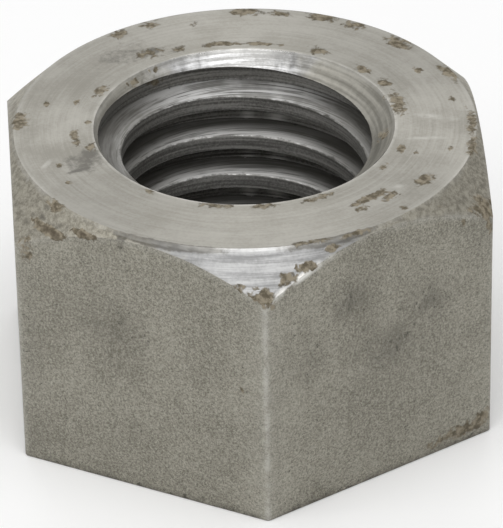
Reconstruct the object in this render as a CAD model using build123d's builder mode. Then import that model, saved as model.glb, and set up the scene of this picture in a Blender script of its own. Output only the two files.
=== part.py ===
"""Heavy hexagon nut with a right-hand 1 1/4 - 5 Acme thread, machined from one piece of hexagon bar.

The nut stands on its bearing face. The thread axis is +Z, the origin is where it meets the bearing
face, and the turned, chamfered face is on top. Two flats face +X and -X, so one corner points to -Y.
"""
from build123d import *
import math
import os

# Hexagon bar
across_flats = 50.8
height = 31.75
bar_corner_radius = 0.5

# Turned top face: the cone that bevels the six corners
top_face_radius = 25.2
bevel_angle = 45.0

# Thread (Acme form)
pitch = 5.08
minor_radius = 13.36
major_radius = 16.13
flank_angle = 14.5
crest_flat = 0.34 * pitch
crest_drop_at_back = 5.28

# Countersinks at both ends of the thread
countersink_radius = 16.3
countersink_angle = 45.0

# Worked-out sizes
corner_radius = across_flats / 2 / math.cos(math.radians(30))
flank_run = (major_radius - minor_radius) * math.tan(math.radians(flank_angle))
groove_mouth = pitch - crest_flat
groove_floor = groove_mouth - 2 * flank_run
bevel_reach = corner_radius + 1.0
bevel_drop = (bevel_reach - top_face_radius) * math.tan(math.radians(bevel_angle))
countersink_depth = (countersink_radius - minor_radius) * math.tan(math.radians(countersink_angle))

# Where the groove starts, at +X and under the bearing face. A ridge passes +Y crest_drop_at_back
# below the top, so a quarter turn earlier, at +X, it is a quarter pitch lower, and the groove is
# half a pitch above the ridge. Whole pitches are then taken off.
ridge_at_x = height - crest_drop_at_back - pitch / 4
pitches_down = 7
groove_start = ridge_at_x + pitch / 2 - pitches_down * pitch
groove_turns = 9

# The groove's cutter also reaches a little inside the bore's wall, at the same flank angle
groove_overrun = 0.25
mouth_overrun_width = groove_mouth + 2 * groove_overrun * math.tan(math.radians(flank_angle))

# The cutting profile lies in the XZ plane at the start of the helix
groove_path = Pos(0, 0, groove_start) * Helix(pitch=pitch, height=groove_turns * pitch, radius=minor_radius)
groove_points = [
    (minor_radius - groove_overrun, groove_start - mouth_overrun_width / 2),
    (major_radius, groove_start - groove_floor / 2),
    (major_radius, groove_start + groove_floor / 2),
    (minor_radius - groove_overrun, groove_start + mouth_overrun_width / 2),
]

with BuildPart() as thread_groove:
    with BuildSketch(Plane.XZ):
        with BuildLine():
            Polyline(*groove_points, close=True)
        make_face()
    sweep(path=groove_path, is_frenet=True)

with BuildPart() as hex_nut:
    # Bar blank, with the small radius that drawn bar has along its corners
    with BuildSketch(Plane.XY):
        RegularPolygon(radius=across_flats / 2, side_count=6, major_radius=False, rotation=30)
    extrude(amount=height)
    fillet(hex_nut.edges().filter_by(Axis.Z), radius=bar_corner_radius)
    # Corner bevel, turned in one pass round the top face
    with BuildSketch(Plane.XZ):
        with BuildLine():
            Polyline(
                (top_face_radius, height),
                (bevel_reach, height - bevel_drop),
                (bevel_reach, height + 1.0),
                (top_face_radius, height + 1.0),
                close=True,
            )
        make_face()
    revolve(axis=Axis.Z, mode=Mode.SUBTRACT)
    # Thread groove, cut while the middle is still solid: the bore then opens it
    add(thread_groove.part, mode=Mode.SUBTRACT)
    # Bore at the thread's crest diameter
    with BuildSketch(Plane.XY):
        Circle(minor_radius)
    extrude(amount=height, mode=Mode.SUBTRACT)
    # Countersink at each end
    with BuildSketch(Plane.XZ):
        with BuildLine():
            Polyline(
                (0, height),
                (countersink_radius, height),
                (minor_radius, height - countersink_depth),
                (0, height - countersink_depth),
                close=True,
            )
        make_face()
        with BuildLine():
            Polyline(
                (0, 0),
                (countersink_radius, 0),
                (minor_radius, countersink_depth),
                (0, countersink_depth),
                close=True,
            )
        make_face()
    revolve(axis=Axis.Z, mode=Mode.SUBTRACT)

hex_nut.part.label = "hex_nut"

os.makedirs("parts", exist_ok=True)
export_step(hex_nut.part, "parts/hex_nut.step")
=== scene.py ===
"""Looks of the heavy hexagon nut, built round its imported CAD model.

The nut's mesh replaces the CAD node at the same sizes, with what machining and handling leave on it:
broken edges, rounded bar corners, rounded thread crests and uneven edges where the countersinks meet
the thread. Shapes and marks are worked out in millimetres and become metres when the mesh is made.
"""
import math

import bmesh
import bpy
import numpy as np
from mathutils import Matrix, Vector, noise


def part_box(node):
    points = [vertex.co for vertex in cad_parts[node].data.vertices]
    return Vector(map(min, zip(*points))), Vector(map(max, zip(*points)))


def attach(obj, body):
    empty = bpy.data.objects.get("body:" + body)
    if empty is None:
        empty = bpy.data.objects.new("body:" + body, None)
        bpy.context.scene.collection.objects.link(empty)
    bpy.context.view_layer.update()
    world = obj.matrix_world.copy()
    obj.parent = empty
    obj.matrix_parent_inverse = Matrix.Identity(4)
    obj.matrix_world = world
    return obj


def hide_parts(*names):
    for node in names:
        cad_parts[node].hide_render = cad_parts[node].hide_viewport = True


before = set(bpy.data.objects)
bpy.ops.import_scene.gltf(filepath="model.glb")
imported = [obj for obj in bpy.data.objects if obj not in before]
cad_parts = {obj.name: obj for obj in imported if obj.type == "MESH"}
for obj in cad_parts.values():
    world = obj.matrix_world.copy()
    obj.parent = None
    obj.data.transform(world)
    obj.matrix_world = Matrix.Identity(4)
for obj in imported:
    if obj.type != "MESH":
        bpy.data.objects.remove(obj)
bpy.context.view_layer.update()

MM = 0.001
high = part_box("hex_nut")[1]

# Hexagon bar, its turned top and its broken edges
APOTHEM = high.x / MM
HEIGHT = high.z / MM
BAR_CORNER = 0.5
TOP_RADIUS = 25.05
TOP_OFFSET = (0.1, 0.2)
TOP_EDGE_BREAK = 0.06
BEVEL_EDGE_BREAK = 0.10
FOOT_BREAK = 0.18

# Thread
PITCH = 5.08
MINOR_RADIUS = 13.36
MAJOR_RADIUS = 16.13
FLANK_ANGLE = math.radians(14.5)
CREST_FLAT = 0.34 * PITCH
CREST_DROP_AT_BACK = 5.28
CREST_ROUND = 0.2
ROOT_ROUND = 0.12
RIDGE_AT_X = HEIGHT - CREST_DROP_AT_BACK - PITCH / 4

# Countersinks, at 45 degrees. The edge where one meets the thread wanders by up to EDGE_WANDER, and
# that fades to nothing at the rim over the last WANDER_FADE of height.
SINK_RADIUS = 16.3
EDGE_WANDER = 0.09
WANDER_FADE = 0.4
UPPER_WANDER_SEED = 3.0
LOWER_WANDER_SEED = 17.0

# Mesh: columns round the nut, steps round each bar corner, rows between the edges of the outside, and
# steps round those edges. Thread turns are counted from the ridge at RIDGE_AT_X.
COLUMNS = 360
CORNER_STEPS = 6
TOP_ROWS = 22
BEVEL_ROWS = 7
FLAT_ROWS = 40
BASE_ROWS = 10
TOP_EDGE_STEPS = 2
BEND_STEPS = 3
HEEL_STEPS = 3
THREAD_TURNS = range(-7, 3)
MEETING_HALVINGS = 30
WELD_DISTANCE = 2e-6
CREASE_ANGLE = math.radians(40)

# What a point of the bore lies on
ON_THREAD, ON_SINK, MEETING = 0, 1, 2

# The nut's surfaces, in the order of its material slots
SURFACES = ["top", "bevel", "flat", "base", "sink", "thread"]

# Camera: degrees round from -Y, up, and turned in the picture, then its distance from the origin and
# how far to the right of it and above it the camera is aimed, in metres, and the lens in millimetres
CAMERA_AZIMUTH = -3.57
CAMERA_ELEVATION = 32.83
CAMERA_ROLL = -1.06
CAMERA_DISTANCE = 0.5168
CAMERA_AIM_RIGHT = 0.0003
CAMERA_AIM_UP = 0.0116
CAMERA_LENS = 315.3
CAMERA_SENSOR = 36

# Softboxes: name, degrees round from -Y and up, distance, width and height in metres, and how bright
# the face is, with 1 for white
SOFTBOXES = [
    ("front", 0, 57, 0.9, (0.75, 0.6), 1.15),
    ("rear", 180, 35, 1.0, (0.7, 0.5), 1.0),
    ("above", 0, 82, 0.9, (0.6, 0.6), 2.8),
    ("left", -70, 25, 1.0, (0.6, 0.5), 1.7),
]
SKY_STRENGTH = 0.45

# Half the floor's width in metres, and its paper
FLOOR_REACH = 8.0
PAPER_WHITE = 0.97
PAPER_ROUGHNESS = 0.9

# Colours of the marks on every surface
WORN_STEEL = (0.75, 0.74, 0.7)
RUST_BROWN = (0.105, 0.087, 0.056)
RUST_PALE = (0.27, 0.235, 0.172)
RUST_DEEP = (0.075, 0.057, 0.036)
# Smudges, and painted shade along the front rim and at the foot
SMUDGE_AND_SHADE_GREY = (0.11, 0.104, 0.09)

# Colours of the bar's own surface
BAR_DARK = (0.17, 0.16, 0.13)
BAR_LIGHT = (0.43, 0.415, 0.355)
# Stains, and the painted shadow at the foot
BAR_STAIN_AND_SHADOW = (0.12, 0.112, 0.095)
# A painted glow of light along the bar's corners
BAR_PAINTED_GLOW = (0.5, 0.49, 0.44)
BAR_PIT = (0.06, 0.056, 0.045)

# Colours of the thread
FLANK_DARK = (0.27, 0.265, 0.25)
FLANK_LIGHT = (0.74, 0.735, 0.725)
# Painted shadow near the roots and painted light near the crests, below the first turn
FLANK_PAINTED_SHADOW = (0.12, 0.115, 0.1)
FLANK_PAINTED_LIGHT = (0.88, 0.87, 0.85)
FLANK_TORN = (0.07, 0.068, 0.06)
# Film on the thread, which also paints shade away from the far side's highlight
FLANK_FILM_AND_SHADE = (0.17, 0.163, 0.143)
# Painted shade deep in the thread, under the film
FLANK_DEEP_FILM_AND_SHADE = (0.07, 0.066, 0.056)
CREST_DARK = (0.08, 0.077, 0.068)
CREST_LIGHT = (0.36, 0.352, 0.33)
CREST_FILM_AND_SHADE = (0.05, 0.048, 0.041)
# A painted reflection in the roots
ROOT_PAINTED_REFLECTION = (0.85, 0.84, 0.81)
ROOT_CORNER_DARK = (0.06, 0.057, 0.05)

# Heights between which the thread's first turn gives way to the turns below it
FIRST_TURN_LOW = HEIGHT - 7.0
FIRST_TURN_HIGH = HEIGHT - 5.0

# At a corner between flank and root, lay's x is this, with its sign turned
ROOT_CORNER = 0.373

# Half the width of the painted highlight on the bevel at the front corner, where its film is left off, in
# degrees round the nut
FRONT_HIGHLIGHT_REACH = 27

# Half the width of the painted highlight on the thread and on the countersink, on the far side, where
# their film is left off, in degrees
BRIGHT_THREAD_REACH = 42
BRIGHT_SINK_REACH = 35

# Where the bevel's lower edge and the turned face's rim are scuffed bright, round the nut in degrees
SCUFF_DIRECTION = -82
RIM_SCUFF_DIRECTION = -155
SCUFF_REACH = 7

# How far the worn bands and painted light reach, in millimetres: the bar's corners, the painted glow
# beside them, the turned face's rim, the bevel's lower edge, the countersink's mouth and the painted
# shadow at the foot
CORNER_WEAR = 0.35
CORNER_PAINTED_GLOW = 2.2
RIM_WEAR = 0.22
BEND_WEAR = 0.3
MOUTH_WEAR = 0.18
FOOT_SHADOW_REACH = 0.3

# The points that take marks: how deep below the turned face or bevel, how deep below the top and how
# near the axis in the countersink, and how deep in a side face
TOP_MARK_DEPTH = 0.5
SINK_MARK_DEPTH = 2.9
SINK_MARK_RADIUS = TOP_RADIUS - 8
SIDE_MARK_DEPTH = 0.9

# Rust marks on the turned face and bevel: direction from +X in degrees, distance from the axis, half
# the length round the ring, half the width, and how solid it is. Weak wide ones come out as specks.
TOP_RUST = [
    (94, 17.6, 2.6, 0.5, 1.2),
    (80, 17.4, 2.6, 0.4, 1.2),
    (110, 17.9, 0.9, 0.6, 1.1),
    (120, 18.8, 1.6, 0.9, 0.8),
    (58, 17.6, 1.4, 0.8, 1.2),
    (37, 17.3, 1.2, 0.6, 1.2),
    (25, 17.5, 1.1, 0.7, 1.1),
    (150, 17.4, 1.4, 0.6, 1.0),
    (86, 24.5, 1.7, 1.0, 1.3),
    (77, 24.3, 1.5, 0.6, 1.1),
    (65, 24.6, 1.8, 0.8, 1.3),
    (56, 24.4, 1.4, 0.7, 1.0),
    (41, 24.2, 1.8, 1.0, 1.3),
    (137, 15.8, 1.2, 0.3, 0.9),
    (124, 16.0, 0.8, 0.3, 0.9),
    (121, 24.3, 1.2, 0.8, 1.1),
    (112, 24.3, 1.3, 0.7, 1.0),
    (101, 22.6, 0.9, 0.5, 1.0),
    (21, 24.8, 2.2, 0.8, 1.1),
    (26, 22.2, 1.0, 0.5, 1.1),
    (10, 17.2, 2.6, 0.9, 1.1),
    (-6, 15.0, 1.2, 0.5, 0.9),
    (8, 23.1, 0.7, 0.4, 1.1),
    (-4, 24.6, 3.0, 0.6, 1.0),
    (-16, 25.0, 1.9, 0.6, 1.2),
    (-18, 22.8, 0.6, 0.4, 1.1),
    (-22, 17.8, 0.9, 0.6, 1.2),
    (-23, 19.4, 0.5, 0.3, 1.1),
    (-36, 22.5, 1.5, 0.9, 1.4),
    (-36, 17.4, 0.8, 0.4, 1.0),
    (-53, 20.2, 3.2, 0.6, 1.3),
    (-48, 21.4, 1.2, 0.7, 1.1),
    (-59, 21.3, 0.8, 0.5, 1.0),
    (-50, 24.1, 0.6, 0.4, 1.1),
    (-66, 17.0, 2.0, 0.5, 0.9),
    (-87, 16.8, 1.4, 0.5, 1.2),
    (-105, 16.7, 2.0, 0.4, 0.8),
    (-131, 16.8, 0.8, 0.4, 0.9),
    (173, 24.3, 2.0, 0.9, 1.4),
    (163, 22.1, 0.6, 0.4, 1.1),
    (160, 18.9, 0.5, 0.4, 1.0),
    (173, 17.0, 0.6, 0.4, 1.0),
    (-177, 18.3, 1.7, 0.5, 1.1),
    (-170, 17.0, 1.0, 0.6, 1.0),
    (-153, 21.9, 0.5, 0.4, 1.0),
    (-162, 21.2, 0.5, 0.4, 1.0),
    (-146, 25.2, 1.6, 0.5, 1.5),
    (-90, 28.6, 1.4, 0.9, 1.3),
    (-80, 26.6, 1.5, 0.45, 1.3),
    (-85, 27.3, 1.0, 0.5, 1.2),
    (-73, 25.6, 1.0, 0.3, 1.1),
    (-77, 24.7, 2.4, 0.35, 1.3),
    (-66, 24.9, 1.8, 0.35, 1.2),
    (-95, 27.9, 0.9, 0.4, 1.2),
    (-30, 28.4, 1.6, 1.3, 1.0),
    (-134, 26.0, 1.8, 0.35, 2.4),
    (-143, 27.0, 3.6, 0.45, 2.8),
]

# Pale scratches on the turned face: the middle's x and y, half the length, half the width, the turn in
# degrees, and how strong it is
TOP_SCRATCHES = [
    (20.7, -0.4, 3.0, 0.5, -19, 0.65),
    (19.2, -4.7, 3.4, 0.35, -3, 0.6),
    (15.4, -14.2, 0.8, 0.5, 20, 0.6),
    (-21.5, -6.0, 1.4, 0.3, 60, 0.5),
]

# Painted reflections, as pale patches in the thread's roots on the far side: direction in degrees and half
# the width
PAINTED_ROOT_REFLECTIONS = [(85, 2.5), (73.5, 3.5)]

# Grey smudges on the turned face, bevel and countersink, with painted shade along the front of the turned
# face's rim, written as TOP_RUST is
TOP_SMUDGES_AND_RIM_SHADE = [
    (-161, 18.4, 2.8, 3.4, 0.8),
    (-165, 17.5, 1.6, 1.6, 1.2),
    (-157, 19.6, 0.6, 2.6, 1.0),
    (133, 15.4, 4.0, 1.6, 0.4),
    (127, 20.4, 6.0, 3.4, 0.5),
    (119, 18.8, 2.2, 1.1, 0.9),
    (113, 17.6, 1.4, 0.7, 0.8),
    # Painted shade: a dark line along the front of the turned face's rim, where it meets the bevel
    (-112, 25.05, 8.5, 0.45, 1.8),
    (-73, 25.0, 7.5, 0.55, 1.9),
    (-94, 25.05, 4.0, 0.3, 0.7),
    (-146, 27.0, 6.0, 2.4, 0.5),
]

# Rust on the side faces: the face's direction in degrees, place along it, height, half the length,
# half the height, and how solid it is
SIDE_RUST = [
    (300, 10.5, 1.6, 3.6, 0.9, 1.2),
    (300, 13.8, 2.4, 1.4, 0.8, 1.2),
    (300, 7.0, 1.2, 1.2, 0.6, 1.0),
    (300, 9.6, 31.2, 1.6, 0.6, 1.1),
    (300, 12.9, 29.2, 1.2, 0.5, 1.0),
    (300, 10.3, 28.3, 0.9, 0.4, 1.0),
    (300, 14.2, 26.5, 0.6, 0.9, 1.1),
    (240, -13.4, 27.0, 0.8, 1.6, 0.9),
    (300, -13.9, 27.2, 0.7, 0.5, 1.2),
    (240, 11.9, 16.2, 0.3, 0.3, 1.0),
    (0, 4.0, 29.0, 5.0, 1.0, 1.0),
    (0, -9.0, 6.0, 3.0, 2.0, 0.9),
    (60, 6.0, 24.0, 2.5, 1.5, 1.0),
    (60, -12.0, 3.0, 2.5, 1.2, 1.2),
    (120, 2.0, 30.6, 6.0, 0.8, 1.0),
    (120, -4.0, 12.0, 2.0, 1.6, 0.9),
    (180, 8.0, 3.0, 3.0, 1.0, 1.1),
]

# Soft dark patches on the side faces, written as SIDE_RUST is
STAINS = [
    (240, -2.0, 30.9, 0.5, 1.1, 1.8),
    (300, -3.9, 24.1, 4.0, 3.0, 0.8),
    (300, 6.4, 20.2, 4.5, 3.0, 0.9),
    (300, 1.5, 16.5, 6.0, 3.5, 0.8),
    (300, -9.0, 19.0, 2.5, 5.0, 0.5),
    (240, -13.2, 16.0, 1.8, 13.0, 0.3),
    (240, -3.0, 20.0, 6.0, 5.0, 0.35),
    (0, 2.0, 14.0, 7.0, 5.0, 0.7),
    (60, -3.0, 18.0, 6.0, 4.0, 0.8),
    (120, 5.0, 12.0, 6.0, 4.0, 0.7),
    (180, -4.0, 16.0, 7.0, 4.0, 0.7),
]


def fillet(before, corner, after, radius, steps):
    """Points of an arc of that radius round a corner of a line, from the side of before."""
    corner = np.array(corner, float)
    back = np.array(before, float) - corner
    ahead = np.array(after, float) - corner
    back /= np.linalg.norm(back)
    ahead /= np.linalg.norm(ahead)
    half = math.acos(max(-1.0, min(1.0, float(back @ ahead)))) / 2
    middle = back + ahead
    centre = corner + middle / np.linalg.norm(middle) * radius / math.sin(half)
    first = corner + back * radius / math.tan(half) - centre
    last = corner + ahead * radius / math.tan(half) - centre
    sweep = math.pi - 2 * half
    points = []
    for step in range(steps + 1):
        t = step / steps
        a = math.sin((1 - t) * sweep) / math.sin(sweep)
        b = math.sin(t * sweep) / math.sin(sweep)
        points.append(centre + a * first + b * last)
    return points


def between(a, b, count):
    """The points that divide the line from a to b, its ends left out."""
    a, b = np.array(a, float), np.array(b, float)
    return [a + (b - a) * (k + 1) / (count + 1) for k in range(count)]


def column_angles():
    """Directions of the mesh's columns: even steps, and finer ones round each bar corner."""
    angles = set(round(360 * k / COLUMNS, 6) for k in range(COLUMNS))
    centre = (APOTHEM - BAR_CORNER) / math.cos(math.radians(30))
    for corner in range(6):
        middle = 30 + 60 * corner
        for k in range(CORNER_STEPS + 1):
            turn = math.radians(30) * (2 * k / CORNER_STEPS - 1)
            across = BAR_CORNER * math.sin(turn)
            along = centre + BAR_CORNER * math.cos(turn)
            angles.add(round(middle + math.degrees(math.atan2(across, along)), 6))
    return np.radians(sorted(angles))


def bar_radius(angle):
    """Distance from the axis to the bar's surface in a direction."""
    from_flat = (angle + math.pi / 6) % (math.pi / 3) - math.pi / 6
    from_corner = angle % (math.pi / 3) - math.pi / 6
    centre = (APOTHEM - BAR_CORNER) / math.cos(math.pi / 6)
    across = centre * math.sin(from_corner)
    edge = math.atan2(BAR_CORNER / 2, centre + BAR_CORNER * math.cos(math.pi / 6))
    if abs(from_corner) >= edge:
        return APOTHEM / math.cos(from_flat)
    return centre * math.cos(from_corner) + math.sqrt(BAR_CORNER**2 - across**2)


def top_radius(angle):
    """Distance from the axis to the rim of the turned face, which was turned a little off the axis."""
    return TOP_RADIUS + TOP_OFFSET[0] * math.cos(angle) + TOP_OFFSET[1] * math.sin(angle)


def outer_profile(angle):
    """Radius and height of one column's outside, from the top rim of the bore to the bottom one."""
    radius = bar_radius(angle)
    rim = (SINK_RADIUS, HEIGHT)
    top_edge = (top_radius(angle), HEIGHT)
    shoulder = (radius, HEIGHT - (radius - top_edge[0]))
    foot = (radius, 0.0)
    bottom_rim = (SINK_RADIUS, 0.0)
    edge = fillet(rim, top_edge, shoulder, TOP_EDGE_BREAK, TOP_EDGE_STEPS)
    bend = fillet(top_edge, shoulder, foot, BEVEL_EDGE_BREAK, BEND_STEPS)
    heel = fillet(shoulder, foot, bottom_rim, FOOT_BREAK, HEEL_STEPS)
    points = [np.array(rim)] + between(rim, edge[0], TOP_ROWS) + edge
    points += between(edge[-1], bend[0], BEVEL_ROWS) + bend
    points += between(bend[-1], heel[0], FLAT_ROWS) + heel
    points += between(heel[-1], bottom_rim, BASE_ROWS) + [np.array(bottom_rim)]
    return points


def outer_parts():
    """The surface that each row of faces of outer_profile belongs to.

    The top's broken edge is shared between top and bevel. The flat has the bend under the bevel, and
    the heel apart from its last step.
    """
    rows = [("top", TOP_ROWS + 2), ("bevel", BEVEL_ROWS + 2)]
    rows += [("flat", BEND_STEPS + FLAT_ROWS + HEEL_STEPS), ("base", BASE_ROWS + 2)]
    return [SURFACES.index(name) for name, count in rows for _ in range(count)]


def thread_block():
    """One pitch of the thread's outline, as height from the ridge's middle and radius."""
    half = CREST_FLAT / 2
    run = (MAJOR_RADIUS - MINOR_RADIUS) * math.tan(FLANK_ANGLE)
    corners = [
        (-half - run, MAJOR_RADIUS),
        (-half, MINOR_RADIUS),
        (half, MINOR_RADIUS),
        (half + run, MAJOR_RADIUS),
        (PITCH - half - run, MAJOR_RADIUS),
    ]
    before = (corners[3][0] - PITCH, MAJOR_RADIUS)
    lower_root = fillet(before, corners[0], corners[1], ROOT_ROUND, 2)
    lower_crest = fillet(corners[0], corners[1], corners[2], CREST_ROUND, 4)
    upper_crest = fillet(corners[1], corners[2], corners[3], CREST_ROUND, 4)
    upper_root = fillet(corners[2], corners[3], corners[4], ROOT_ROUND, 2)
    next_root = lower_root[0] + np.array([PITCH, 0.0])
    block = lower_root + between(lower_root[-1], lower_crest[0], 1)
    block += lower_crest + between(lower_crest[-1], upper_crest[0], 2)
    block += upper_crest + between(upper_crest[-1], upper_root[0], 2)
    block += upper_root + between(upper_root[-1], next_root, 1)
    return np.array(block)


def ragged(angle, seed):
    """A small uneven wander round a circle, between about -1 and 1."""
    ring = Vector((math.cos(angle), math.sin(angle), 0.0))
    return 0.6 * noise.noise(ring * 14 + Vector((0, 0, seed))) + 0.6 * noise.noise(
        ring * 41 + Vector((0, 0, seed + 9))
    )


def on_sink(height, edge):
    """Radius of the countersinks at a height: the wider of the two. edge is that column's wander."""
    return max(SINK_RADIUS - (HEIGHT - height) + edge[0], SINK_RADIUS - height + edge[1])


def bore_column(angle, block):
    """One column of the bore, from the bottom rim to the top rim.

    Gives its points, and for each point whether it is on the thread, on a countersink or where they
    meet.
    """
    edge = [EDGE_WANDER * ragged(angle, seed) for seed in (UPPER_WANDER_SEED, LOWER_WANDER_SEED)]
    shift = RIDGE_AT_X + angle / (2 * math.pi) * PITCH
    points = []
    for turn in THREAD_TURNS:
        for local, radius in block:
            points.append(np.array([radius, shift + turn * PITCH + local]))

    def sink(height):
        near = max(0.0, min(1.0, (HEIGHT - height) / WANDER_FADE, height / WANDER_FADE))
        return on_sink(height, [near * e for e in edge])

    def cut_away(point):
        return bool(point[1] >= HEIGHT or point[1] <= 0 or point[0] < sink(point[1]))

    inside = [cut_away(point) for point in points]
    placed, kinds = [], []
    for (radius, height), cut in zip(points, inside):
        height = min(max(height, 0.0), HEIGHT)
        placed.append(np.array([sink(height) if cut else radius, height]))
        kinds.append(ON_SINK if cut else ON_THREAD)
    for row in range(len(points) - 1):
        if inside[row] == inside[row + 1]:
            continue
        # Where the thread's outline crosses the countersink, found by halving
        a, b = points[row], points[row + 1]
        start, end = 0.0, 1.0
        for _ in range(MEETING_HALVINGS):
            half = (start + end) / 2
            if cut_away(a + (b - a) * half) == inside[row]:
                start = half
            else:
                end = half
        nearer = row if start < 0.5 else row + 1
        if kinds[nearer] != MEETING:
            placed[nearer] = a + (b - a) * (start + end) / 2
            kinds[nearer] = MEETING
    return placed, kinds


def bore_faces(here, there, kinds_here, kinds_there):
    """Faces between two columns of the bore, and the surface of each.

    here and there are the columns' first points. A face that the meeting of thread and countersink
    crosses is cut in two along it.
    """
    faces, parts = [], []
    for row in range(len(kinds_here) - 1):
        corners = (here + row, there + row, there + row + 1, here + row + 1)
        kinds = (kinds_here[row], kinds_there[row], kinds_there[row + 1], kinds_here[row + 1])
        if kinds[0] == MEETING and kinds[2] == MEETING:
            pieces = ((0, 1, 2), (0, 2, 3))
        elif kinds[1] == MEETING and kinds[3] == MEETING:
            pieces = ((0, 1, 3), (1, 2, 3))
        else:
            pieces = ((0, 1, 2, 3),)
        for piece in pieces:
            faces.append(tuple(corners[k] for k in reversed(piece)))
            on_thread = any(kinds[k] == ON_THREAD for k in piece)
            parts.append(SURFACES.index("thread" if on_thread else "sink"))
    return faces, parts


def make_nut():
    """The nut as one closed mesh, each face set to the material slot index of its kind of surface."""
    angles = np.append(column_angles(), 2 * math.pi)
    block = thread_block()
    bore = [bore_column(a, block) for a in angles]
    outer = [outer_profile(a) for a in angles]
    rows_in, rows_out = len(bore[0][0]), len(outer[0])
    per_column = rows_in + rows_out
    verts, faces, parts = [], [], []
    for angle, (inner, _), outside in zip(angles, bore, outer):
        for radius, height in list(inner) + list(outside):
            verts.append((radius * math.cos(angle), radius * math.sin(angle), height))
    row_parts = outer_parts()
    for column in range(len(angles) - 1):
        here, there = column * per_column, (column + 1) * per_column
        new_faces, new_parts = bore_faces(here, there, bore[column][1], bore[column + 1][1])
        faces += new_faces
        parts += new_parts
        for row in range(rows_in, per_column - 1):
            faces.append((here + row, here + row + 1, there + row + 1, there + row))
        parts += row_parts
    mesh = bpy.data.meshes.new("nut")
    mesh.from_pydata([tuple(MM * c for c in v) for v in verts], [], faces)
    mesh.polygons.foreach_set("material_index", parts)
    # The columns' ends meet each other, and the last column meets the first
    work = bmesh.new()
    work.from_mesh(mesh)
    bmesh.ops.remove_doubles(work, verts=work.verts, dist=WELD_DISTANCE)
    bmesh.ops.recalc_face_normals(work, faces=work.faces)
    work.to_mesh(mesh)
    work.free()
    mesh.update()
    nut = bpy.data.objects.new("nut", mesh)
    bpy.context.scene.collection.objects.link(nut)
    return nut


def smooth_out(nut):
    """Smooth faces with sharp creases kept, and normals that follow the large faces."""
    mesh = nut.data
    mesh.polygons.foreach_set("use_smooth", [True] * len(mesh.polygons))
    mesh.set_sharp_from_angle(angle=CREASE_ANGLE)
    even = nut.modifiers.new("even", "WEIGHTED_NORMAL")
    even.keep_sharp = True


def direction(azimuth, elevation):
    """Direction from the nut, from degrees round from -Y and degrees up."""
    a, e = math.radians(azimuth), math.radians(elevation)
    return Vector((math.sin(a) * math.cos(e), -math.cos(a) * math.cos(e), math.sin(e)))


def make_camera():
    """A long lens at the front corner, looking down at the top."""
    back = direction(CAMERA_AZIMUTH, CAMERA_ELEVATION)
    azimuth, roll = math.radians(CAMERA_AZIMUTH), math.radians(CAMERA_ROLL)
    level = Vector((math.cos(azimuth), math.sin(azimuth), 0))
    upright = back.cross(level)
    right = level * math.cos(roll) + upright * math.sin(roll)
    up = upright * math.cos(roll) - level * math.sin(roll)
    place = right * CAMERA_AIM_RIGHT + up * CAMERA_AIM_UP + back * CAMERA_DISTANCE
    camera = bpy.data.objects.new("camera", bpy.data.cameras.new("camera"))
    bpy.context.scene.collection.objects.link(camera)
    camera.matrix_world = Matrix(
        (
            (right.x, up.x, back.x, place.x),
            (right.y, up.y, back.y, place.y),
            (right.z, up.z, back.z, place.z),
            (0, 0, 0, 1),
        )
    )
    camera.data.sensor_width = CAMERA_SENSOR
    camera.data.lens = CAMERA_LENS
    camera.data.clip_start = 0.01
    camera.data.clip_end = 20
    bpy.context.scene.camera = camera


def make_light(name, azimuth, elevation, distance, size, glow):
    """A softbox that faces the nut's middle."""
    back = direction(azimuth, elevation)
    light = bpy.data.lights.new(name, "AREA")
    light.shape = "RECTANGLE"
    light.size, light.size_y = size
    light.energy = glow * math.pi * size[0] * size[1]
    lamp = bpy.data.objects.new(name, light)
    lamp.location = back * distance + Vector((0, 0, HEIGHT * MM / 2))
    lamp.rotation_euler = back.to_track_quat("Z", "Y").to_euler()
    bpy.context.scene.collection.objects.link(lamp)


def make_studio():
    """A pale floor, an even white surround and soft lights."""
    world = bpy.data.worlds.new("studio")
    bpy.context.scene.world = world
    world.use_nodes = True
    sky = world.node_tree.nodes["Background"]
    sky.inputs["Color"].default_value = (1, 1, 1, 1)
    sky.inputs["Strength"].default_value = SKY_STRENGTH
    for softbox in SOFTBOXES:
        make_light(*softbox)
    mesh = bpy.data.meshes.new("floor")
    corners = [(x * FLOOR_REACH, y * FLOOR_REACH, 0) for x, y in ((-1, -1), (1, -1), (1, 1), (-1, 1))]
    mesh.from_pydata(corners, [], [(0, 1, 2, 3)])
    floor = bpy.data.objects.new("floor", mesh)
    bpy.context.scene.collection.objects.link(floor)
    paper = bpy.data.materials.new("paper")
    paper.use_nodes = True
    surface = paper.node_tree.nodes["Principled BSDF"]
    surface.inputs["Base Color"].default_value = (PAPER_WHITE, PAPER_WHITE, PAPER_WHITE, 1)
    surface.inputs["Roughness"].default_value = PAPER_ROUGHNESS
    floor.data.materials.append(paper)
    bpy.context.scene.view_settings.view_transform = "Standard"


class Points:
    """Where the mesh's points are, in millimetres and degrees."""

    def __init__(self, mesh):
        places = np.empty(len(mesh.vertices) * 3)
        mesh.vertices.foreach_get("co", places)
        self.x, self.y, self.z = places.reshape(-1, 3).T / MM
        self.reach = np.hypot(self.x, self.y)
        self.around = np.degrees(np.arctan2(self.y, self.x))
        # How far round from the front corner, and from the nearest corner, which is in millimetres
        self.from_front = np.abs((self.around + 90 + 180) % 360 - 180)
        turn = self.around % 60 - 30
        self.from_corner = np.abs(np.radians(turn)) * self.reach
        # How far in from the nearest flat, and the height of the bevel's cone there
        self.inset = APOTHEM - self.reach * np.cos(np.radians(30 - np.abs(turn)))
        self.cone = HEIGHT - (np.maximum(self.reach, TOP_RADIUS) - TOP_RADIUS)


def fading(apart, reach, power=2):
    """1 where apart is 0, falling smoothly towards 0 beyond reach."""
    return np.exp(-((apart / reach) ** power))


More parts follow.
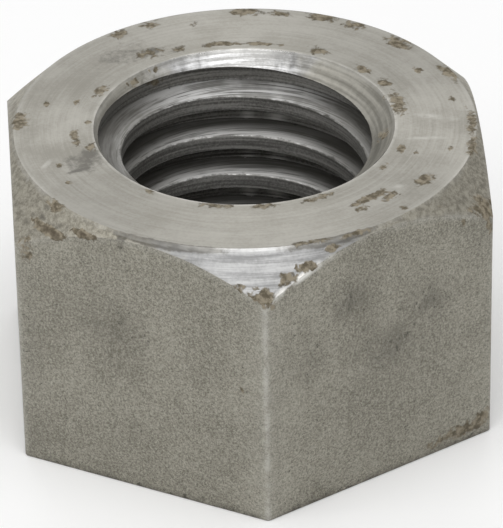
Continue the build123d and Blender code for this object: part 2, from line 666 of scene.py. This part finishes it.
def mark_strength(along, across, half_along, half_across, strength):
    """How strong a mark is: its strength in the middle, 0 at its edge and less beyond."""
    apart = np.sqrt((along / half_along) ** 2 + (across / half_across) ** 2)
    return strength * (1 - apart)


def turned_marks(at, marks, softest):
    """Strength of marks on the turned face, bevel and countersink at points."""
    field = np.full(len(at.x), softest)
    for middle, radius, half_along, half_across, strength in marks:
        along = np.radians((at.around - middle + 180) % 360 - 180) * radius
        near = mark_strength(along, at.reach - radius, half_along, half_across, strength)
        field = np.maximum(field, near)
    return field


def side_marks(at, marks, softest):
    """Strength of marks on the side faces at points."""
    field = np.full(len(at.x), softest)
    for face, place, height, half_along, half_across, strength in marks:
        turn = math.radians(face)
        out = at.x * math.cos(turn) + at.y * math.sin(turn)
        along = at.y * math.cos(turn) - at.x * math.sin(turn) - place
        near = mark_strength(along, at.z - height, half_along, half_across, strength)
        field = np.maximum(field, np.where(out > APOTHEM - SIDE_MARK_DEPTH, near, softest))
    return field


def rust_stain_and_shade(at):
    """Strength of rust, which is -1 where there is none, and of stains with the painted shade along the
    front rim and the painted shadow at the foot.
    """
    turned = at.z > at.cone - TOP_MARK_DEPTH
    sunk = (at.z > HEIGHT - SINK_MARK_DEPTH) & (at.reach < SINK_MARK_RADIUS)
    upper = turned | sunk
    rust = np.where(upper, turned_marks(at, TOP_RUST, -1.0), -1.0)
    rust = np.maximum(rust, side_marks(at, SIDE_RUST, -1.0))
    stain_and_shade = side_marks(at, STAINS, 0.0)
    stain_and_shade = np.maximum(stain_and_shade, upper * turned_marks(at, TOP_SMUDGES_AND_RIM_SHADE, 0.0))
    # Painted shadow along the foot, where the nut meets the floor
    foot = fading(at.z, FOOT_SHADOW_REACH) * (at.inset < 0.3)
    return rust, np.maximum(stain_and_shade, 1.3 * foot)


def film_and_painted_light(at):
    """The brown film on the bevel, left off as a painted highlight at the front corner, and the dull film
    of thread and countersink, thinnest on the far side as a painted highlight, with painted reflections as
    pale patches in the thread's roots."""
    # The film is left off where highlights are painted: round the bevel's front corner, and on the far
    # side of bore and countersink
    on_upper_sink = np.abs(at.reach - SINK_RADIUS + HEIGHT - at.z) < 0.15
    bright_reach = np.where(on_upper_sink, BRIGHT_SINK_REACH, BRIGHT_THREAD_REACH)
    outer = 1 - fading(at.from_front, FRONT_HIGHLIGHT_REACH, 4)
    inner = 1 - fading(180 - at.from_front, bright_reach, 4)
    film_and_highlight = np.where(at.reach < SINK_RADIUS + 0.05, inner, outer)
    painted_reflection = np.zeros(len(at.x))
    # Painted reflections in the roots below the first turn
    for middle, half_width in PAINTED_ROOT_REFLECTIONS:
        painted_reflection = np.maximum(painted_reflection, (at.z < FIRST_TURN_HIGH) * fading(at.around - middle, half_width))
    return film_and_highlight, painted_reflection


def wear_and_painted_glow(at):
    """Bright worn edges and scratches, and a painted glow of light along the bar's corners."""
    side = (at.inset < 0.3) & (at.z > 0.05) & (at.z < at.cone - 0.1)
    # The front corner is the most worn and has the strongest painted glow, and the left ones more than the
    # right ones
    most = np.where(at.y < -APOTHEM, 1.0, np.where(at.x < 0, 0.5, 0.3)) * side
    edge = most * fading(at.from_corner, CORNER_WEAR)
    # A painted glow of light beside the corners
    glow = most * fading(at.from_corner, CORNER_PAINTED_GLOW)
    near_top = at.z > HEIGHT - 0.3
    mouth = fading(at.reach - SINK_RADIUS, MOUTH_WEAR) * near_top
    rim = fading(at.reach - TOP_RADIUS, RIM_WEAR) * near_top
    bend = fading(np.abs(at.z - at.cone) + np.maximum(at.inset, 0), BEND_WEAR)
    bend = bend * (at.reach > TOP_RADIUS + 0.25)
    bend = bend * (0.22 + 2.2 * fading(at.around - SCUFF_DIRECTION, SCUFF_REACH))
    for middle_x, middle_y, half_along, half_across, tilt, strength in TOP_SCRATCHES:
        tilt = math.radians(tilt)
        along = (at.x - middle_x) * math.cos(tilt) + (at.y - middle_y) * math.sin(tilt)
        aside = (at.y - middle_y) * math.cos(tilt) - (at.x - middle_x) * math.sin(tilt)
        mark = mark_strength(along, aside, half_along, half_across, strength)
        scratch = np.minimum(4 * mark, 3 * strength)
        rim = np.maximum(rim, np.where(at.z > HEIGHT - 0.1, scratch, 0.0))
    rim = rim * (1 + 3 * fading(at.around - RIM_SCUFF_DIRECTION, SCUFF_REACH))
    return np.maximum.reduce([edge * 0.35, rim * 0.2, bend, mouth * 0.35]), glow


def paint_marks(nut):
    """Rust, stains, wear, films, painted light and shade, and the thread's lay, as attributes of the
    mesh's points.
    """
    mesh = nut.data
    at = Points(mesh)
    rust, stain_and_shade = rust_stain_and_shade(at)
    wear, glow = wear_and_painted_glow(at)
    film_and_highlight, painted_reflection = film_and_painted_light(at)
    painted = {"rust": rust, "stain_and_shade": stain_and_shade, "wear": wear, "glow": glow, "film_and_highlight": film_and_highlight, "painted_reflection": painted_reflection}
    for name, values in painted.items():
        mesh.attributes.new(name, "FLOAT", "POINT").data.foreach_set("value", values)
    # Place across one pitch as an angle: 0 at a ridge's middle and half a turn at a groove's
    across = 2 * math.pi * (at.z - RIDGE_AT_X) / PITCH - np.arctan2(at.y, at.x)
    lay = np.stack([np.cos(across), np.sin(across), 0 * across], axis=1)
    mesh.attributes.new("lay", "FLOAT_VECTOR", "POINT").data.foreach_set("vector", lay.ravel())


class Look:
    """One material under construction. Methods add nodes and give back the socket of their result."""

    def __init__(self, name):
        self.material = bpy.data.materials.new(name)
        self.material.use_nodes = True
        self.nodes = self.material.node_tree.nodes
        self.links = self.material.node_tree.links
        self.surface = self.nodes["Principled BSDF"]
        place = self.nodes.new("ShaderNodeTexCoord").outputs["Object"]
        self.place = self.scaled(place, 1 / MM)

    def feed(self, socket, value):
        if isinstance(value, bpy.types.NodeSocket):
            self.links.new(value, socket)
        else:
            socket.default_value = value

    def calc(self, operation, *values):
        node = self.nodes.new("ShaderNodeMath")
        node.operation = operation
        for socket, value in zip(node.inputs, values):
            self.feed(socket, value)
        return node.outputs[0]

    def times(self, *values):
        """The product of the values."""
        product = values[0]
        for value in values[1:]:
            product = self.calc("MULTIPLY", product, value)
        return product

    def weighed(self, *terms, plus=0.0):
        """The sum of the terms, each a value and its weight, and plus."""
        total = plus
        for value, weight in reversed(terms):
            total = self.calc("MULTIPLY_ADD", value, weight, total)
        return total

    def balanced(self, *terms, middle=0.5):
        """A weighed sum that is middle where every term's value is 0.5, as a cloud's is on average."""
        return self.weighed(*terms, plus=middle - 0.5 * sum(weight for _, weight in terms))

    def vector(self, operation, *values):
        node = self.nodes.new("ShaderNodeVectorMath")
        node.operation = operation
        for socket, value in zip(node.inputs, values):
            self.feed(socket, value)
        return node.outputs["Value" if operation == "LENGTH" else "Vector"]

    def scaled(self, vector, by):
        """The vector times a number, or times a number for each axis."""
        return self.vector("MULTIPLY", vector, by if isinstance(by, tuple) else (by, by, by))

    def radius(self):
        return self.vector("LENGTH", self.scaled(self.place, (1, 1, 0)))

    def axis(self, vector, name):
        node = self.nodes.new("ShaderNodeSeparateXYZ")
        self.feed(node.inputs[0], vector)
        return node.outputs[name]

    def cloud(self, vector, scale, detail=3.0, rough=0.5, warp=0.0):
        """Soft noise, mostly 0.3 to 0.7. A larger scale is finer: scale 1 has features about 1 mm wide."""
        node = self.nodes.new("ShaderNodeTexNoise")
        self.feed(node.inputs["Vector"], vector)
        node.inputs["Scale"].default_value = scale
        node.inputs["Detail"].default_value = detail
        node.inputs["Roughness"].default_value = rough
        node.inputs["Distortion"].default_value = warp
        return node.outputs[0]

    def rings(self, along, across, detail):
        """Fine arcs round the axis, from a tool that turned the face."""
        outward = self.nodes.new("ShaderNodeCombineXYZ")
        self.feed(outward.inputs["Z"], self.times(self.radius(), across))
        spun = self.scaled(self.place, (along, along, 0))
        return self.cloud(self.vector("ADD", spun, outward.outputs[0]), 1, detail)

    def lines(self, closeness, drift, detail, rough=0.5):
        """Lines along the thread. A larger closeness is finer, and a larger drift ends them sooner."""
        lay = self.scaled(self.point("lay"), closeness)
        return self.cloud(self.vector("ADD", lay, self.scaled(self.place, drift)), 1, detail, rough)

    def eased(self, value, low, high, to_low=0.0, to_high=1.0):
        """Value eased from its range low to high into the range to_low to to_high."""
        node = self.nodes.new("ShaderNodeMapRange")
        node.interpolation_type = "SMOOTHSTEP"
        for name, given in (("Value", value), ("From Min", low), ("From Max", high)):
            self.feed(node.inputs[name], given)
        self.feed(node.inputs["To Min"], to_low)
        self.feed(node.inputs["To Max"], to_high)
        return node.outputs[0]

    def point(self, name):
        """An attribute that paint_marks gave the mesh's points."""
        node = self.nodes.new("ShaderNodeAttribute")
        node.attribute_name = name
        return node.outputs["Vector" if name == "lay" else "Fac"]

    def mix(self, amount, a, b):
        """A colour between colours a and b."""
        node = self.nodes.new("ShaderNodeMix")
        node.data_type = "RGBA"
        self.feed(node.inputs[0], amount)
        for socket, value in ((node.inputs[6], a), (node.inputs[7], b)):
            self.feed(socket, (*value, 1.0) if isinstance(value, tuple) else value)
        return node.outputs[2]

    def mix_value(self, amount, a, b):
        """A number between numbers a and b."""
        node = self.nodes.new("ShaderNodeMix")
        self.feed(node.inputs[0], amount)
        self.feed(node.inputs[2], a)
        self.feed(node.inputs[3], b)
        return node.outputs[0]

    def bump(self, height, depth, below=None):
        """A bump of that depth in mm over the height's range 0 to 1."""
        node = self.nodes.new("ShaderNodeBump")
        node.inputs["Distance"].default_value = depth * MM
        self.feed(node.inputs["Height"], height)
        if below is not None:
            self.feed(node.inputs["Normal"], below)
        return node.outputs[0]

    def spun(self, amount):
        """Highlights stretched across the tool's rings."""
        node = self.nodes.new("ShaderNodeTangent")
        node.direction_type = "RADIAL"
        node.axis = "Z"
        self.feed(self.surface.inputs["Tangent"], node.outputs[0])
        self.surface.inputs["Anisotropic"].default_value = amount

    def finish(self, colour, metal, rough, normal):
        """Edge wear and rust over the bare surface, then everything to the shader."""
        worn = self.times(self.point("wear"), self.eased(self.cloud(self.place, 0.6), 0.25, 0.6))
        colour = self.mix(worn, colour, WORN_STEEL)
        rough = self.weighed((worn, -0.12), plus=rough)
        ragged = self.balanced((self.cloud(self.place, 1.2, 4, 0.55, 0.6), 3.2), middle=-0.15)
        shade = self.cloud(self.place, 1.5, 4, 0.6)
        field = self.calc("ADD", self.point("rust"), ragged)
        rusty = self.eased(field, -0.25, 0.3)
        tint = self.mix(self.eased(shade, 0.38, 0.62), RUST_BROWN, RUST_PALE)
        tint = self.mix(self.eased(field, 0.7, 1.8, 0.0, 0.7), tint, RUST_DEEP)
        colour = self.mix(rusty, colour, tint)
        metal = self.weighed((rusty, -0.9 * metal), plus=metal)
        rough = self.mix_value(rusty, rough, 0.8)
        normal = self.bump(self.times(rusty, shade), 0.05, normal)
        self.feed(self.surface.inputs["Base Color"], colour)
        self.feed(self.surface.inputs["Metallic"], metal)
        self.feed(self.surface.inputs["Roughness"], rough)
        self.feed(self.surface.inputs["Normal"], normal)
        return self.material


def turned_steel(
    name, dark, light, rough, stretch, ring_depth,
    ring_tone=0.25, metal=0.9, film_tones=None, film_lines=0.0,
):
    """A turned surface: faint tool rings, soft blotches and fine grain, under a film and smudges with
    painted shade.

    film_tones are the film's two colours, and film_lines is how much of its pattern is rings. The film is
    left off where a highlight is painted.
    """
    look = Look(name)
    rings = look.rings(0.09, 2.6, 3)
    fine_rings = look.rings(0.25, 9.0, 2)
    blotch = look.cloud(look.place, 0.16, 4, 0.55)
    grain = look.cloud(look.place, 3.0, 3, 0.6)
    tone = look.balanced((rings, ring_tone), (fine_rings, ring_tone * 0.6), (blotch, 0.7), (grain, 0.25))
    colour = look.mix(look.eased(tone, 0.3, 0.7), dark, light)
    finish = look.balanced((blotch, 0.22), (grain, 0.12), middle=rough)
    if film_tones:
        # The film, left off where a highlight is painted
        uneven = look.balanced((look.cloud(look.place, 0.45, 4, 0.6), 1.2), middle=0.0)
        film_and_highlight = look.eased(look.calc("ADD", look.point("film_and_highlight"), uneven), 0.1, 0.9)
        pits = look.cloud(look.place, 1.6, 6, 0.8)
        shade = look.weighed((rings, film_lines), (pits, 1 - film_lines))
        colour = look.mix(film_and_highlight, colour, look.mix(look.eased(shade, 0.35, 0.65), *film_tones))
        finish = look.weighed((film_and_highlight, 0.2 - 0.16 * film_lines), plus=finish)
    # Stains and smudges, with the painted shade along the front rim and, on the base, the painted shadow
    # at the foot
    stain_and_shade = look.point("stain_and_shade")
    uneven = look.balanced((look.cloud(look.place, 0.9, 5, 0.7), 1.6), middle=0.0)
    smudge_and_shade = look.eased(look.calc("ADD", uneven, stain_and_shade), 0.15, 0.75)
    smudge_and_shade = look.times(smudge_and_shade, look.eased(stain_and_shade, 0.0, 0.2, 0.0, 0.75))
    colour = look.mix(smudge_and_shade, colour, SMUDGE_AND_SHADE_GREY)
    normal = look.bump(fine_rings, ring_depth * 0.6)
    normal = look.bump(rings, ring_depth, normal)
    normal = look.bump(grain, 0.008, normal)
    look.spun(stretch)
    return look.finish(colour, metal, finish, normal)


def blasted_steel(name):
    """The bar's own surface: fine pits, a dull grey with soft patches."""
    look = Look(name)
    pits = look.cloud(look.place, 3.8, 4, 0.75)
    fine = look.cloud(look.place, 6.5, 2, 0.6)
    patch = look.cloud(look.place, 0.12, 4, 0.6)
    streak = look.cloud(look.scaled(look.place, (0.9, 0.9, 0.12)), 1, 3)
    tone = look.balanced((pits, 1.35), (fine, 0.8), (patch, 0.4), (streak, 0.12))
    colour = look.mix(look.eased(tone, 0.2, 0.8), BAR_DARK, BAR_LIGHT)
    stain_and_shade = look.point("stain_and_shade")
    uneven = look.eased(look.cloud(look.place, 0.5, 4, 0.65), 0.3, 0.7)
    # Stains, and the painted shadow along the foot
    colour = look.mix(look.times(stain_and_shade, uneven, 0.75), colour, BAR_STAIN_AND_SHADOW)
    # A painted glow of light along the bar's corners
    colour = look.mix(look.times(look.point("glow"), 0.15), colour, BAR_PAINTED_GLOW)
    # Deeper pits, closest where the bar is stained and in the painted shadow at the foot
    crowd = look.weighed((stain_and_shade, 0.1), plus=look.cloud(look.place, 1.9, 3, 0.8))
    colour = look.mix(look.eased(crowd, 0.62, 0.68, 0.0, 0.75), colour, BAR_PIT)
    rough = look.weighed((fine, 0.2), plus=0.5)
    normal = look.bump(fine, 0.02)
    normal = look.bump(pits, 0.06, normal)
    return look.finish(colour, 0.85, rough, normal)


def flank_colour(look, streaks, hairs):
    """Bright torn streaks along the thread's flanks, with painted light by the crests and painted shade
    and film deep down.
    """
    film_and_highlight = look.point("film_and_highlight")
    patch = look.cloud(look.place, 0.35, 3, 0.55)
    shine = look.balanced((streaks, 1.5), (hairs, 1.1), (patch, 0.7), middle=0.45)
    colour = look.mix(look.eased(shine, 0.2, 0.6), FLANK_DARK, FLANK_LIGHT)
    # 0 at the crests and 1 at the roots
    depth = look.calc("SUBTRACT", look.radius(), MINOR_RADIUS)
    depth = look.calc("DIVIDE", depth, MAJOR_RADIUS - MINOR_RADIUS)
    # 1 below the first turn, where the ridge above shades the flanks: painted shadow towards the roots and
    # painted light on the flanks next to the crests
    below = look.eased(look.axis(look.place, "Z"), FIRST_TURN_LOW, FIRST_TURN_HIGH, 1.0, 0.0)
    painted_shadow = look.eased(look.weighed((streaks, 0.5), (depth, 1), plus=-0.25), 0.2, 0.65)
    colour = look.mix(look.times(painted_shadow, below, 0.8), colour, FLANK_PAINTED_SHADOW)
    painted_light = look.times(look.eased(depth, 0.1, 0.75, 1.0, 0.0), below, look.eased(hairs, 0.3, 0.5))
    colour = look.mix(painted_light, colour, FLANK_PAINTED_LIGHT)
    # Torn black lines
    torn = look.eased(look.lines(11, 0.2, 3, 0.6), 0.54, 0.62)
    torn = look.times(torn, look.eased(streaks, 0.4, 0.55))
    colour = look.mix(look.times(torn, 0.8), colour, FLANK_TORN)
    # Film on the flanks, which paints shade away from the far side's highlight
    colour = look.mix(look.times(film_and_highlight, 0.7), colour, FLANK_FILM_AND_SHADE)
    # Painted shade deeper towards the roots, on the filmed flanks
    deep = look.eased(look.weighed((streaks, 0.9), (depth, 1), plus=-0.45), 0.1, 0.5)
    return look.mix(look.times(deep, film_and_highlight, 0.62), colour, FLANK_DEEP_FILM_AND_SHADE)


def crest_colour(look, grain, root):
    """Dull tool lines along the thread's crests and roots, with painted reflections as pale patches in the
    roots.
    """
    bands = look.lines(2.6, 0.09, 3)
    tone = look.balanced((bands, 1.5), (grain, 0.8))
    colour = look.mix(look.eased(tone, 0.2, 0.8), CREST_DARK, CREST_LIGHT)
    # Film on the crests, which paints shade away from the far side's highlight
    colour = look.mix(look.times(look.point("film_and_highlight"), 0.45), colour, CREST_FILM_AND_SHADE)
    # Painted reflections of light, as pale patches in the roots on the far side
    painted_reflection = look.times(look.point("painted_reflection"), root, look.eased(bands, 0.35, 0.6), 0.9)
    return look.mix(painted_reflection, colour, ROOT_PAINTED_REFLECTION)


def cut_thread(name):
    """The thread: dark in the roots, bright torn streaks along the flanks and dull crests."""
    look = Look(name)
    streaks = look.lines(5, 0.12, 4, 0.6)
    hairs = look.lines(14, 0.3, 3, 0.6)
    grain = look.cloud(look.place, 3.6, 4, 0.65)
    nicks = look.cloud(look.place, 1.1, 3, 0.6)
    # lay's x goes from 1 at a ridge's middle to -1 at a groove's middle
    ridge = look.axis(look.point("lay"), "X")
    uneven = look.calc("ADD", ridge, look.balanced((nicks, 0.42), (grain, 0.12), middle=0.0))
    crest = look.eased(uneven, 0.42, 0.54)
    root = look.eased(uneven, -0.38, -0.34, 1.0, 0.0)
    dull = look.times(look.calc("MAXIMUM", crest, root), 0.92)
    colour = look.mix(dull, flank_colour(look, streaks, hairs), crest_colour(look, grain, root))
    # Darker where the flanks meet the roots
    corner_dark = look.calc("ABSOLUTE", look.calc("ADD", ridge, ROOT_CORNER))
    corner_dark = look.eased(corner_dark, 0.0, 0.09, 1.0, 0.0)
    colour = look.mix(look.times(corner_dark, 0.7), colour, ROOT_CORNER_DARK)
    rough = look.weighed((hairs, 0.25), (crest, 0.12), plus=0.28)
    normal = look.bump(hairs, 0.02)
    normal = look.bump(streaks, 0.04, normal)
    normal = look.bump(look.times(grain, crest), 0.05, normal)
    return look.finish(colour, 0.35, rough, normal)


nut = make_nut()
paint_marks(nut)
smooth_out(nut)
for made in (
    turned_steel("top", (0.285, 0.273, 0.238), (0.435, 0.421, 0.381), 0.38, 0.8, 0.004),
    turned_steel(
        "bevel", (0.2, 0.2, 0.198), (0.4, 0.4, 0.397), 0.34, 0.3, 0.008, 0.6,
        film_tones=((0.26, 0.243, 0.2), (0.5, 0.474, 0.4)),
    ),
    blasted_steel("flat"),
    turned_steel("base", (0.3, 0.29, 0.255), (0.5, 0.49, 0.45), 0.48, 0.4, 0.012),
    turned_steel(
        "sink", (0.28, 0.277, 0.268), (0.74, 0.74, 0.745), 0.33, 0.3, 0.014, 0.8, 0.8,
        film_tones=((0.3, 0.288, 0.25), (0.56, 0.54, 0.48)), film_lines=0.75,
    ),
    cut_thread("thread"),
):
    nut.data.materials.append(made)
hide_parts("hex_nut")
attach(nut, "root")
make_camera()
make_studio()
